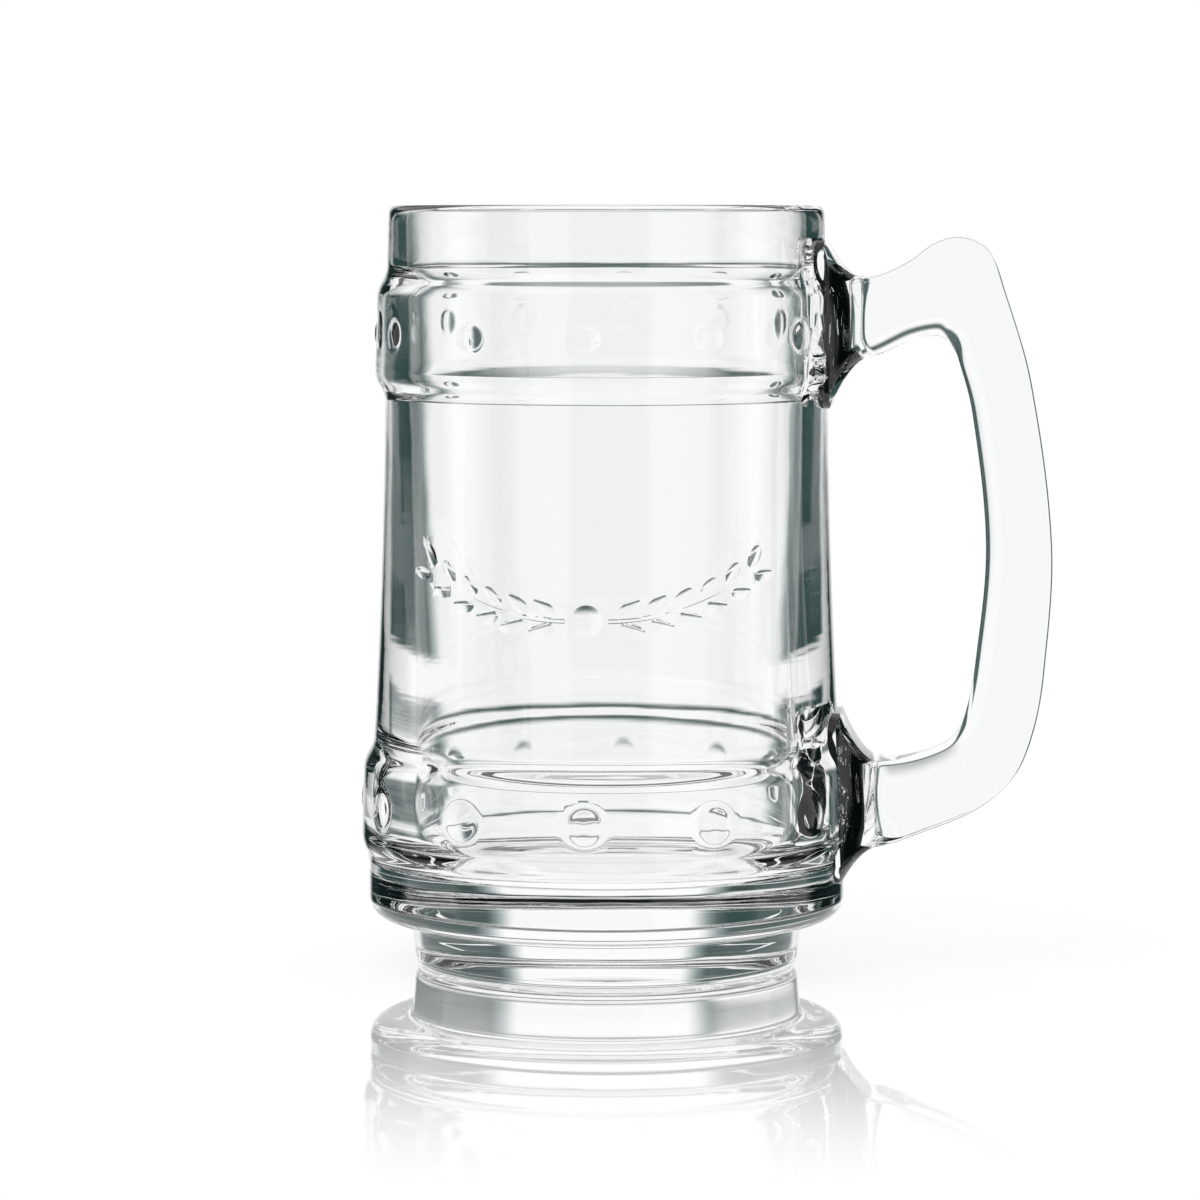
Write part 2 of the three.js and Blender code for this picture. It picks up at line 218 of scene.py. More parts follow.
class Value:
    """A number on a node's socket, for use in Python expressions."""

    def __init__(self, shader, socket):
        self.shader = shader
        self.socket = socket

    def __add__(self, other):
        return self.shader.math("ADD", self, other)

    def __radd__(self, other):
        return self.shader.math("ADD", other, self)

    def __sub__(self, other):
        return self.shader.math("SUBTRACT", self, other)

    def __rsub__(self, other):
        return self.shader.math("SUBTRACT", other, self)

    def __mul__(self, other):
        return self.shader.math("MULTIPLY", self, other)

    def __rmul__(self, other):
        return self.shader.math("MULTIPLY", other, self)

    def __mod__(self, other):
        return self.shader.math("FLOORED_MODULO", self, other)

    def __abs__(self):
        return self.shader.math("ABSOLUTE", self)


class Shader:
    """A node tree that is written as expressions."""

    def __init__(self, owner):
        owner.use_nodes = True
        self.tree = owner.node_tree
        self.tree.nodes.clear()

    def node(self, kind, settings=None, **sockets):
        """Adds a node, makes its settings and fills or links its sockets.

        A socket is named with _ for a space, or by its number, as in _0.
        """
        made = self.tree.nodes.new(kind)
        for name, value in (settings or {}).items():
            setattr(made, name, value)
        for name, value in sockets.items():
            self.feed(made.inputs[int(name[1:]) if name[1:].isdigit() else name.replace("_", " ")], value)
        return made

    def feed(self, socket, value):
        """Links a value or an output to a socket, or sets a plain number or colour on it."""
        if isinstance(value, Value):
            value = value.socket
        if isinstance(value, bpy.types.NodeSocket):
            self.tree.links.new(value, socket)
        else:
            socket.default_value = value

    def math(self, operation, *numbers):
        """One Math node on numbers and values."""
        made = self.node("ShaderNodeMath", {"operation": operation})
        for socket, number in zip(made.inputs, numbers):
            self.feed(socket, number)
        return Value(self, made.outputs[0])

    def value(self, node, output):
        """An output of a node as a value."""
        return Value(self, node.outputs[output])

    def fade(self, value, start, end):
        """0 at start and 1 at end, with a soft run between them."""
        ramp = self.node(
            "ShaderNodeMapRange",
            {"interpolation_type": "SMOOTHSTEP"},
            Value=value, From_Min=start, From_Max=end,
        )
        return Value(self, ramp.outputs["Result"])


def wire(bm, points):
    """A chain of edges through points."""
    corners = [bm.verts.new(point) for point in points]
    for start, end in zip(corners, corners[1:]):
        bm.edges.new((start, end))
    return corners


def round_corner(bm, corners, offset, segments):
    """Rounds corners of a wire by an arc that starts an offset away from each."""
    bmesh.ops.bevel(
        bm, geom=corners, offset=offset, offset_type="OFFSET", segments=segments, profile=0.5,
        affect="VERTICES", clamp_overlap=True, material=-1,
    )


def close(bm):
    """Merges what lies together and turns all faces outwards."""
    bmesh.ops.remove_doubles(bm, verts=bm.verts, dist=1e-6)
    bmesh.ops.dissolve_degenerate(bm, edges=bm.edges, dist=1e-7)
    bmesh.ops.recalc_face_normals(bm, faces=bm.faces)


def mesh_from(bm, name):
    """The finished bmesh as a mesh."""
    mesh = bpy.data.meshes.new(name)
    bm.to_mesh(mesh)
    bm.free()
    return mesh


def bowl_outline(sizes):
    """Corners of half the bowl's section, from the dish up and round to the floor.

    Each corner is (radius, height, rounding).
    """
    lower_base = sizes.foot_height + sizes.band_height
    lower_top = lower_base + sizes.lower_hoop_height
    upper_top = sizes.height - sizes.neck_height
    upper_base = upper_top - sizes.upper_hoop_height
    lip = (sizes.lip_radius - sizes.mouth_radius) / 2
    return [
        (0, sizes.recess_depth, 0),
        (sizes.recess_radius / 2, sizes.recess_depth * 0.96, sizes.recess_radius * 0.45),
        (sizes.recess_radius, 0, 1.2 * MM),
        (sizes.foot_base_radius, 0, 2 * MM),
        (sizes.foot_top_radius, sizes.foot_height, 1.3 * MM),
        (sizes.band_radius, sizes.foot_height, 4 * MM),
        (sizes.band_radius, lower_base, 0.9 * MM),
        (sizes.lower_hoop_base_radius, lower_base + sizes.step_rise, 1.3 * MM),
        (sizes.lower_hoop_top_radius, lower_top - sizes.step_rise, 1.5 * MM),
        (sizes.waist_base_radius, lower_top, 1.4 * MM),
        (sizes.waist_middle_radius, (lower_top + upper_base) / 2, 26 * MM),
        (sizes.waist_top_radius, upper_base, 1.2 * MM),
        (sizes.upper_hoop_base_radius, upper_base + sizes.step_rise, 1.4 * MM),
        (sizes.upper_hoop_top_radius, upper_top - sizes.step_rise, 1.4 * MM),
        (sizes.neck_radius, upper_top, 1.4 * MM),
        (sizes.lip_radius, sizes.height, 0.98 * lip),
        (sizes.mouth_radius, sizes.height, 0.98 * lip),
        (sizes.floor_radius, sizes.floor_thickness, sizes.floor_corner),
        (0, sizes.floor_thickness, 0),
    ]


def bowl_mesh(sizes, steps=224, arc=9, stretch=1.6 * MM):
    """The bowl turned from its section."""
    bm = bmesh.new()
    outline = bowl_outline(sizes)
    corners = wire(bm, [AXIS + Vector((radius, 0, height)) for radius, height, _ in outline])
    for corner, (_, _, rounding) in zip(corners, outline):
        if rounding:
            round_corner(bm, [corner], rounding, arc)
    for edge in list(bm.edges):
        cuts = int(edge.calc_length() / stretch)
        if cuts:
            bmesh.ops.subdivide_edges(bm, edges=[edge], cuts=cuts)
    bmesh.ops.spin(
        bm, geom=bm.verts[:] + bm.edges[:], cent=AXIS, axis=(0, 0, 1), angle=2 * math.pi, steps=steps,
        use_merge=True,
    )
    close(bm)
    return mesh_from(bm, "bowl")


def swelling(bm, diameter, rise, steps):
    """A soft dome on the plane Z = 0, whose skirt runs out just under it, with a root below."""
    corners = wire(
        bm,
        [
            Vector((out, 0, level))
            for out, level in (
                (0, rise),
                (CROWN * diameter, rise),
                (SLOPE * diameter, 0),
                (SKIRT * diameter, -SKIRT_SINK),
                (SKIRT * diameter, -FORM_ROOT),
                (0, -FORM_ROOT),
            )
        ],
    )
    round_corner(bm, [corners[1]], 0.2 * diameter, 8)
    round_corner(bm, [corners[2]], 0.15 * diameter, 6)
    bmesh.ops.spin(
        bm, geom=bm.verts[:] + bm.edges[:], cent=(0, 0, 0), axis=(0, 0, 1), angle=2 * math.pi, steps=steps,
        use_merge=True,
    )
    close(bm)


def stud_ring(diameter, rise, base_radius, top_radius, taper_height, height, places):
    """Studs round a hoop, with no stud in the place that the handle takes."""
    radius = (base_radius + top_radius) / 2
    bm = bmesh.new()
    swelling(bm, diameter, rise, 40)
    for vert in bm.verts:
        vert.co.z -= vert.co.y**2 / (2 * radius)
    place = (
        Matrix.Translation(AXIS + Vector((0, 0, height)))
        @ Matrix.Rotation(2 * math.pi / places, 4, "Z")
        @ Matrix.Translation((radius, 0, 0))
        @ Matrix.Rotation(math.pi / 2 - math.atan2(base_radius - top_radius, taper_height), 4, "Y")
    )
    bmesh.ops.transform(bm, matrix=place, verts=bm.verts)
    bmesh.ops.spin(
        bm, geom=bm.verts[:] + bm.edges[:] + bm.faces[:], cent=AXIS, axis=(0, 0, 1),
        angle=2 * math.pi * (places - 2) / places, steps=places - 2, use_duplicate=True,
    )
    bmesh.ops.recalc_face_normals(bm, faces=bm.faces)
    return mesh_from(bm, "studs")


def waist_place(bowl, across, height):
    """The frame on the front of the waist: X round the bowl, Y up along the wall and Z out of it."""
    base = bowl.foot_height + bowl.band_height + bowl.lower_hoop_height
    top = bowl.height - bowl.neck_height - bowl.upper_hoop_height
    middle = (base + top) / 2
    if height < middle:
        start, end, run = bowl.waist_base_radius, bowl.waist_middle_radius, (height - base) / (middle - base)
    else:
        start, end, run = bowl.waist_middle_radius, bowl.waist_top_radius, (height - middle) / (top - middle)
    radius = start + (end - start) * run
    lean = math.atan2(start - end, middle - base)
    turn = across / radius
    place = (
        Matrix.Translation(AXIS + Vector((0, 0, height)))
        @ Matrix.Rotation(turn, 4, "Z")
        @ Matrix.Translation((0, -radius, 0))
        @ Matrix.Rotation(math.pi / 2 - lean, 4, "X")
    )
    return place, radius


def barley_path(relief, side, share):
    """A point on a stalk, across and up from the middle of the swag, and the way that it runs there."""
    start, end = 0.55 * relief.boss_diameter, relief.swag_width / 2
    across = start + (end - start) * share
    point = Vector((side * across, relief.swag_sag * share**2))
    way = math.atan2(2 * relief.swag_sag * share, side * (end - start))
    return point, way


def barley_kernels(bowl, relief, edge, odd):
    """Every other kernel along one edge of both ears, so that no two of them touch."""
    mesh = bpy.data.meshes.new("kernels")
    whole = bmesh.new()
    for side in (-1, 1):
        for i in range(odd, relief.kernels, 2):
            share = FIRST_KERNEL + (1 - FIRST_KERNEL) * i / (relief.kernels - 1)
            point, way = barley_path(relief, side, share)
            point = point + Vector((-math.sin(way), math.cos(way))) * edge * KERNEL_SET * relief.kernel_width
            tilt = way + edge * KERNEL_LEAN
            place, radius = waist_place(bowl, point.x, relief.swag_height + point.y)
            bm = bmesh.new()
            swelling(bm, relief.kernel_width / WHOLE_BREADTH, relief.kernel_rise, 20)
            for vert in bm.verts:
                taper = 1 - KERNEL_TAPER * vert.co.x / relief.kernel_width
                along = vert.co.x * relief.kernel_length / relief.kernel_width
                wide = vert.co.y * taper
                round_bowl = along * math.cos(tilt) - wide * math.sin(tilt)
                up = along * math.sin(tilt) + wide * math.cos(tilt)
                vert.co = (round_bowl, up, vert.co.z - round_bowl**2 / (2 * radius))
            bmesh.ops.transform(bm, matrix=place, verts=bm.verts)
            bmesh.ops.recalc_face_normals(bm, faces=bm.faces)
            bm.to_mesh(mesh)
            bm.free()
            whole.from_mesh(mesh)
    return mesh_from(whole, "kernels")


def barley_stalks(bowl, relief, steps=48, sides=14):
    """The stalks of both ears, round beads half sunk in the wall, thinner towards their tips."""
    bm = bmesh.new()
    for side in (-1, 1):
        loops = []
        for i in range(steps + 1):
            share = i / steps
            point, way = barley_path(relief, side, share)
            place, _ = waist_place(bowl, point.x, relief.swag_height + point.y)
            ring = bmesh.ops.create_circle(
                bm,
                segments=sides,
                radius=relief.stalk_width * (0.42 - 0.2 * share),
                matrix=place @ Matrix.Rotation(way, 4, "Z") @ Matrix.Rotation(math.pi / 2, 4, "Y"),
            )
            loops.append(list({edge for vert in ring["verts"] for edge in vert.link_edges}))
        for start, end in zip(loops, loops[1:]):
            bmesh.ops.bridge_loops(bm, edges=start + end)
        for loop in (loops[0], loops[-1]):
            bmesh.ops.edgeloop_fill(bm, edges=loop)
    close(bm)
    return mesh_from(bm, "stalks")


def boss_mesh(bowl, relief):
    """The round boss between the ears."""
    place, radius = waist_place(bowl, 0, relief.swag_height)
    bm = bmesh.new()
    swelling(bm, relief.boss_diameter / WHOLE_BREADTH, 1.4 * relief.kernel_rise, 40)
    for vert in bm.verts:
        vert.co.z -= vert.co.x**2 / (2 * radius)
    bmesh.ops.transform(bm, matrix=place, verts=bm.verts)
    bmesh.ops.recalc_face_normals(bm, faces=bm.faces)
    return mesh_from(bm, "boss")


def handle_knots(bowl, handle):
    """Knots on the outer edge of the loop and their partners on the inner edge, as (x, z) from the axis."""
    upper_radius = (bowl.upper_hoop_base_radius + bowl.upper_hoop_top_radius) / 2
    lower_radius = (bowl.lower_hoop_base_radius + bowl.lower_hoop_top_radius) / 2
    upper = bowl.height - bowl.neck_height - bowl.upper_hoop_height / 2 + handle.upper_arm_raise
    lower = bowl.foot_height + bowl.band_height + bowl.lower_hoop_height / 2
    top, under = upper + handle.upper_arm_depth / 2, upper - handle.upper_arm_depth / 2
    low_top, low_under = lower + handle.lower_arm_depth / 2, lower - handle.lower_arm_depth / 2
    inside = handle.reach - handle.grip_depth
    rise = handle.shoulder_rise

    def between(start, end):
        return lambda share: start + share * (end - start)

    over, below = between(upper_radius, handle.reach), between(upper_radius, inside)
    beneath, above = between(lower_radius, handle.reach), between(lower_radius, inside)
    outer, inner = between(low_under, top), between(low_top, under)
    return [
        ((upper_radius - ROOT_SINK, top), (upper_radius - ROOT_SINK, under)),
        ((over(0.17), top), (below(0.22), under)),
        ((over(0.33), top + 0.36 * rise), (below(0.47), under + 0.4 * rise)),
        ((over(0.46), top + 0.86 * rise), (below(0.61), under + 0.54 * rise)),
        ((over(0.58), top + rise), (below(0.695), under + 0.54 * rise)),
        ((over(0.7), top + 0.66 * rise), (below(0.765), under + 0.32 * rise)),
        ((over(0.775), outer(0.976)), (below(0.81), inner(0.998))),
        ((over(0.9), outer(0.815)), (below(0.905), inner(0.865))),
        ((handle.reach, outer(0.53)), (inside, inner(0.54))),
        ((beneath(0.965), outer(0.306)), (above(0.93), inner(0.255))),
        ((beneath(0.915), outer(0.205)), (above(0.86), inner(0.125))),
        ((beneath(0.82), outer(0.125)), (above(0.775), inner(0.06))),
        ((beneath(0.64), outer(0.068)), (above(0.63), inner(0.03))),
        ((beneath(0.37), outer(0.026)), (above(0.39), inner(0.007))),
        ((beneath(0.14), low_under), (above(0.15), low_top)),
        ((lower_radius - ROOT_SINK, low_under), (lower_radius - ROOT_SINK, low_top)),
    ]


def smooth_path(points, steps, root_steps):
    """Points on a smooth curve through knots, with more of them in the first and the last stretch."""
    path = []
    for i, (start, end) in enumerate(zip(points, points[1:])):
        before = points[max(i - 1, 0)]
        after = points[min(i + 2, len(points) - 1)]
        reach = (end - start).length / 3
        lead = (end - before).normalized() * reach
        tail = (after - start).normalized() * reach
        is_root = i in (0, len(points) - 2)
        stretch = interpolate_bezier(
            start, start + lead, end - tail, end, (root_steps if is_root else steps) + 1
        )
        path += stretch[:-1]
    return path + [points[-1]]


def swell(distance, run, flare):
    """How far a root stands out beyond the bar at a distance from the wall."""
    return flare * min(max(1 - distance / run, 0), 1) ** ROOT_CURVE


def side_swell(x, radius, handle, run):
    """How far the sides of a root stand out, where the round wall falls away to both sides."""
    found = 0
    for _ in range(8):
        wall = math.sqrt(radius**2 - (handle.thickness / 2 + found) ** 2)
        found = swell(x - wall, run, handle.root_flare_side)
    return found


def handle_mesh(bowl, handle, steps=9, root_steps=60, arc=10):
    """The loop as a row of rounded sections, from inside the wall at one root to inside it at the other."""
    knots = handle_knots(bowl, handle)
    outer_edge = smooth_path([Vector((x, 0, z)) for (x, z), _ in knots], steps, root_steps)
    inner_edge = smooth_path([Vector((x, 0, z)) for _, (x, z) in knots], steps, root_steps)
    bm = bmesh.new()
    loops = []
    for i, (outer, inner) in enumerate(zip(outer_edge, inner_edge)):
        if i < len(outer_edge) / 2:
            outer_wall, inner_wall = bowl.upper_hoop_top_radius, bowl.upper_hoop_base_radius
        else:
            outer_wall, inner_wall = bowl.lower_hoop_base_radius, bowl.lower_hoop_top_radius
        out = (outer - inner).normalized()
        middle, wall = (outer.x + inner.x) / 2, (outer_wall + inner_wall) / 2
        side = side_swell(middle, wall, handle, handle.root_run)
        edge_side = side_swell(middle, wall, handle, handle.root_edge_run)
        flare_out = swell(outer.x - outer_wall + SET_BACK_OUT, handle.root_run, handle.root_flare_out)
        flare_in = swell(inner.x - inner_wall + SET_BACK_IN, handle.root_run, handle.root_flare_in)
        outer = outer + out * flare_out
        inner = inner - out * flare_in
        full = Vector((0, handle.thickness / 2 + side, 0))
        ridges = [outer.lerp(inner, share) for share in RIDGES]
        outside = Vector((0, handle.thickness / 2 + edge_side - handle.outer_bevel, 0))
        inside = Vector((0, handle.thickness / 2 + edge_side - handle.inner_bevel, 0))
        front = [outer + outside, ridges[0] + full, ridges[1] + full, inner + inside]
        back = [inner - inside, ridges[1] - full, ridges[0] - full, outer - outside]
        before = set(bm.edges)
        corners = wire(bm, [AXIS + point for point in front + back])
        bm.edges.new((corners[-1], corners[0]))
        for ridge in (1, 2, 5, 6):
            round_corner(bm, [corners[ridge]], (outer - inner).length * RIDGE_ROUND, 4)
        root_round = ROOT_EDGE_SHARE * edge_side
        round_corner(bm, [corners[0], corners[7]], handle.outer_edge_round + root_round, arc)
        under_arm = min(max((out.z - UNDER_ARM_START) / UNDER_ARM_RUN, 0), 1)
        inner_round = handle.inner_edge_round + handle.under_arm_round * under_arm + root_round
        round_corner(bm, [corners[3], corners[4]], min(inner_round, WIDEST_ROUND), arc)
        loops.append([edge for edge in bm.edges if edge not in before])
    for start, end in zip(loops, loops[1:]):
        bmesh.ops.bridge_loops(bm, edges=start + end)
    for loop in (loops[0], loops[-1]):
        bmesh.ops.edgeloop_fill(bm, edges=loop)
    close(bm)
    return mesh_from(bm, "handle")


def combined(mesh, other, operation, name):
    """The union, difference or intersection of two closed meshes, whose faces keep their material."""
    made = []
    for part in (mesh, other):
        part_object = bpy.data.objects.new(f"{name}_{part.name}", part)
        bpy.context.scene.collection.objects.link(part_object)
        made.append(part_object)
    cut = made[0].modifiers.new("combine", "BOOLEAN")
    cut.object = made[1]
    cut.operation = operation
    cut.solver = "MANIFOLD"
    cut.material_mode = "TRANSFER"
    evaluated = made[0].evaluated_get(bpy.context.evaluated_depsgraph_get())
    result = bpy.data.meshes.new_from_object(evaluated)
    result.name = name
    for part_object in made:
        bpy.data.objects.remove(part_object)
    return result


def glass_material():
    """Clear pressed glass with the faint waves that a mould leaves."""
    material = bpy.data.materials.new("pressed_glass")
    shader = Shader(material)
    place = shader.node("ShaderNodeTexCoord").outputs["Object"]
    waves = shader.node("ShaderNodeTexNoise", Vector=place, Scale=70, Detail=1.5, Roughness=0.4)
    flat = shader.node("ShaderNodeMapping", Vector=place, Scale=(0.12, 0.12, 1))
    rings = shader.node("ShaderNodeTexNoise", Vector=flat.outputs[0], Scale=330, Detail=2, Roughness=0.5)
    ripple = shader.node("ShaderNodeTexNoise", Vector=place, Scale=260, Detail=2, Roughness=0.5)
    height = shader.value(waves, "Fac") + shader.value(rings, "Fac") * 0.22
    bump = shader.node("ShaderNodeBump", Strength=0.5, Distance=0.0001, Height=height)
    polish = shader.value(ripple, "Fac") * 0.012
    glass = shader.node(
        "ShaderNodeBsdfPrincipled",
        Base_Color=(*bpy.context.scene.tankard_look.glass, 1),
        Roughness=polish, Normal=bump.outputs["Normal"], IOR=1.52, Transmission_Weight=1,
    )
    shader.node("ShaderNodeOutputMaterial", Surface=glass.outputs[0])
    return material


def joint_material():
    """The joint of bowl and handle, which is fused, so that light passes it unbent."""
    material = bpy.data.materials.new("fused_joint")
    shader = Shader(material)
    clear = shader.node("ShaderNodeBsdfPrincipled", Alpha=0)
    shader.node("ShaderNodeOutputMaterial", Surface=clear.outputs[0])
    return material


def shade(mesh):
    """Smooth shading, with the pressed edges left crisp."""
    for polygon in mesh.polygons:
        polygon.use_smooth = True
    mesh.set_sharp_from_angle(angle=math.radians(22))


def finish_piece(mesh, name, node):
    """Shows a mesh as a piece of the tankard in place of its plain solid."""
    shade(mesh)
    piece = bpy.data.objects.new(name, mesh)
    bpy.context.scene.collection.objects.link(piece)
    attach(piece, "root")
    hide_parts(node)


def closed_mesh(bm, name, *materials):
    """A mesh that encloses its glass, with its materials in order."""
    if any(not edge.is_manifold for edge in bm.edges):
        raise RuntimeError(f"{name} has an open edge")
    mesh = mesh_from(bm, name)
    for material in materials:
        mesh.materials.append(material)
    return mesh


def faces_with(bm, mesh, material, first=0):
    """The faces of a mesh with one material, among those from one place in the list on."""
    bm.faces.ensure_lookup_table()
    return [face for face in bm.faces[first:] if mesh.materials[face.material_index] == material]


def fused_bowl(whole, loop, glass, joint):
    """The bowl's own surface outside the roots, closed by the faces on which the handle is fused."""
    bm = bmesh.new()
    bm.from_mesh(whole)
    bmesh.ops.delete(bm, geom=faces_with(bm, whole, joint), context="FACES")
    for face in bm.faces:
        face.material_index = 0
    outside = len(bm.faces)
    bm.from_mesh(loop)
    bmesh.ops.delete(bm, geom=faces_with(bm, loop, joint, outside), context="FACES")
    fused = faces_with(bm, loop, glass, outside)
    for face in fused:
        face.material_index = 1
    bmesh.ops.reverse_faces(bm, faces=fused)
    bmesh.ops.remove_doubles(bm, verts=bm.verts, dist=2e-6)
    return closed_mesh(bm, "glass_bowl", glass, joint)


def fused_handle(loop, glass, joint):
    """The handle up to the wall of the bowl, where its two ends are the fused joint."""
    bm = bmesh.new()
    bm.from_mesh(loop)
    for face in bm.faces:
        face.material_index = int(loop.materials[face.material_index] == glass)
    return closed_mesh(bm, "glass_handle", glass, joint)


class TANKARD_OT_bowl(bpy.types.Operator):
    """Make the bowl with its hoops, studs and swag, which are pressed in one piece"""

    bl_idname = "tankard.bowl"
    bl_label = "Bowl"

    def execute(self, context):
        scene = context.scene
        sizes, studs, relief = scene.tankard_bowl, scene.tankard_studs, scene.tankard_relief
        raised = [
            stud_ring(
                studs.upper_diameter,
                studs.upper_rise,
                sizes.upper_hoop_base_radius,
                sizes.upper_hoop_top_radius,
                sizes.upper_hoop_height - 2 * sizes.step_rise,
                sizes.height - sizes.neck_height - sizes.upper_hoop_height / 2,
                studs.places,
            ),
            stud_ring(
                studs.lower_diameter,
                studs.lower_rise,
                sizes.lower_hoop_base_radius,
                sizes.lower_hoop_top_radius,
                sizes.lower_hoop_height - 2 * sizes.step_rise,
                sizes.foot_height + sizes.band_height + sizes.lower_hoop_height / 2,
                studs.places,
            ),
            boss_mesh(sizes, relief),
            barley_stalks(sizes, relief),
        ]
        raised += [barley_kernels(sizes, relief, edge, odd) for edge in (-1, 1) for odd in (0, 1)]
        bowl = bowl_mesh(sizes)
        for form in raised:
            bowl = combined(bowl, form, "UNION", "bowl")
        bowl.materials.clear()
        bowl.materials.append(glass_material())
        finish_piece(bowl, "glass_bowl", "bowl")
        return {"FINISHED"}


class TANKARD_OT_handle(bpy.types.Operator):
    """Make the handle and fuse its two roots to the wall of the bowl"""

    bl_idname = "tankard.handle"
    bl_label = "Handle"

    def execute(self, context):
        bowl = bpy.data.objects.get("glass_bowl")
        if bowl is None:
            raise RuntimeError("The bowl is made before its handle")
        glass, joint = bowl.data.materials[0], joint_material()
        bar = handle_mesh(context.scene.tankard_bowl, context.scene.tankard_handle)
        bar.materials.append(joint)
        whole = combined(bowl.data, bar, "UNION", "whole")
        loop = combined(bar, bowl.data, "DIFFERENCE", "loop")
        bowl.data = fused_bowl(whole, loop, glass, joint)
        shade(bowl.data)
        finish_piece(fused_handle(loop, glass, joint), "glass_handle", "handle")
        return {"FINISHED"}


def table_material(look):
    """A white table with a soft shadow, and a sheen that mirrors what stands on it and fades outwards.

    Rays that the glass bends see a lit disc under the foot and a lit strip behind it, and pass the rest.
    """
    material = bpy.data.materials.new("white_table")
    shader = Shader(material)
    place = shader.node("ShaderNodeTexCoord").outputs["Object"]
    apart = shader.node("ShaderNodeVectorMath", {"operation": "DISTANCE"}, _0=place, _1=AXIS)
    far = shader.value(apart, "Value")
    lit = shader.node("ShaderNodeEmission", Color=(*look.table, 1), Strength=1)
    shaded = shader.node("ShaderNodeBsdfDiffuse", Color=(*look.table, 1))
    mirror = shader.node("ShaderNodeBsdfGlossy", Color=(1, 1, 1, 1), Roughness=0.02)
    shadow = shader.fade(far, SHADOW_END, SHADOW_FULL) * SHADOW_SHARE
    matt = shader.node("ShaderNodeMixShader", Fac=shadow, _1=lit.outputs[0], _2=shaded.outputs[0])
    sheen = shader.fade(far, SHEEN_END, SHEEN_FULL) * SHEEN_SHARE
    polished = shader.node("ShaderNodeMixShader", Fac=sheen, _1=matt.outputs[0], _2=mirror.outputs[0])
    clear = shader.node("ShaderNodeBsdfTransparent")
    behind = shader.value(shader.node("ShaderNodeSeparateXYZ", Vector=place), "Y")
    strip = shader.fade(far, *STRIP_NEAR) * shader.fade(far, *STRIP_FAR) * shader.fade(behind, *STRIP_SIDE)
    lit_parts = shader.math("MAXIMUM", strip, shader.fade(far, *DISC))
    through = shader.node("ShaderNodeMixShader", Fac=lit_parts, _1=clear.outputs[0], _2=lit.outputs[0])
    path = shader.node("ShaderNodeLightPath")
    glossy, bent = shader.value(path, "Is Glossy Ray"), shader.value(path, "Is Transmission Ray")
    by_glass = shader.math("MAXIMUM", glossy, bent)
    whole = shader.node("ShaderNodeMixShader", Fac=by_glass, _1=polished.outputs[0], _2=through.outputs[0])
    shader.node("ShaderNodeOutputMaterial", Surface=whole.outputs[0])
    return material


def painted_shade_card_material(look):
    """Cards of painted shade round the table, paler painted light by the gaps that show the white
    background.
    """
    material = bpy.data.materials.new("painted_shade_cards")
    material.cycles.emission_sampling = "NONE"
    shader = Shader(material)
    place = shader.node("ShaderNodeTexCoord").outputs["Object"]
    outwards = shader.node("ShaderNodeVectorMath", {"operation": "SUBTRACT"}, _0=place, _1=CARDS_MIDDLE)
    direction = shader.node("ShaderNodeVectorMath", {"operation": "NORMALIZE"}, _0=outwards.outputs[0])
    axes = shader.node("ShaderNodeSeparateXYZ", Vector=direction.outputs[0])
    x, y, z = (shader.value(axes, name) for name in "XYZ")
    heading = shader.math("ARCTAN2", x, y) * (180 / math.pi)
    lift = shader.math("ARCSINE", z) * (180 / math.pi)
    level = abs(lift)
    # edge is where the cards carry paler painted light, round the gaps and towards the camera
    gap, edge = 0, 0
    for gap_heading, low, high in GAPS:
        apart = abs((heading + (180 - gap_heading)) % 360 - 180)
        upright = shader.fade(level, high + GAP_SOFTNESS, high - GAP_SOFTNESS)
        if low:
            upright = upright * shader.fade(level, low - GAP_SOFTNESS, low + GAP_SOFTNESS)
        gap = shader.math("MAXIMUM", gap, shader.fade(apart, *GAP_SIDE) * upright)
        edge = shader.math("MAXIMUM", edge, shader.fade(apart, *PAINTED_LIGHT_SIDE) * upright)
    gap = shader.math("MAXIMUM", gap, shader.fade(level, *OPEN_ABOVE))
    gap = shader.math("MAXIMUM", gap, shader.fade(lift, *OPEN_BELOW))
    edge = shader.math("MAXIMUM", edge, shader.fade(abs(heading), *PAINTED_LIGHT_HEADINGS))
    # The cards glow dark as painted shade, and paler as painted light
    dark = shader.node("ShaderNodeEmission", Color=(*look.painted_card_shade, 1), Strength=1)
    pale = shader.node("ShaderNodeEmission", Color=(*look.painted_card_light, 1), Strength=1)
    painted_card_shade = shader.node("ShaderNodeMixShader", Fac=edge, _1=dark.outputs[0], _2=pale.outputs[0])
    open_gap = shader.node("ShaderNodeBsdfTransparent")
    whole = shader.node("ShaderNodeMixShader", Fac=gap, _1=painted_card_shade.outputs[0], _2=open_gap.outputs[0])
    shader.node("ShaderNodeOutputMaterial", Surface=whole.outputs[0])
    return material


def studio_world(look):
    """White to every ray, so that the glass shows the same background as the camera."""
    world = bpy.data.worlds.new("studio")
    shader = Shader(world)
    background = shader.node("ShaderNodeBackground", Color=(*look.table, 1), Strength=1)
    shader.node("ShaderNodeOutputWorld", Surface=background.outputs[0])
    return world


def stage_piece(bm, name, material):
    """Shows a finished bmesh as a piece of the stage, which isn't part of the tankard."""
    piece = bpy.data.objects.new(name, mesh_from(bm, name))
    piece.data.materials.append(material)
    bpy.context.scene.collection.objects.link(piece)
    return piece


def place_table(look):
    """The round table, just under the foot."""
    bm = bmesh.new()
    bmesh.ops.create_circle(bm, cap_ends=True, segments=96, radius=TABLE_RADIUS)
    bmesh.ops.translate(bm, vec=AXIS + Vector((0, 0, -TABLE_SINK)), verts=bm.verts)
    stage_piece(bm, "table", table_material(look))


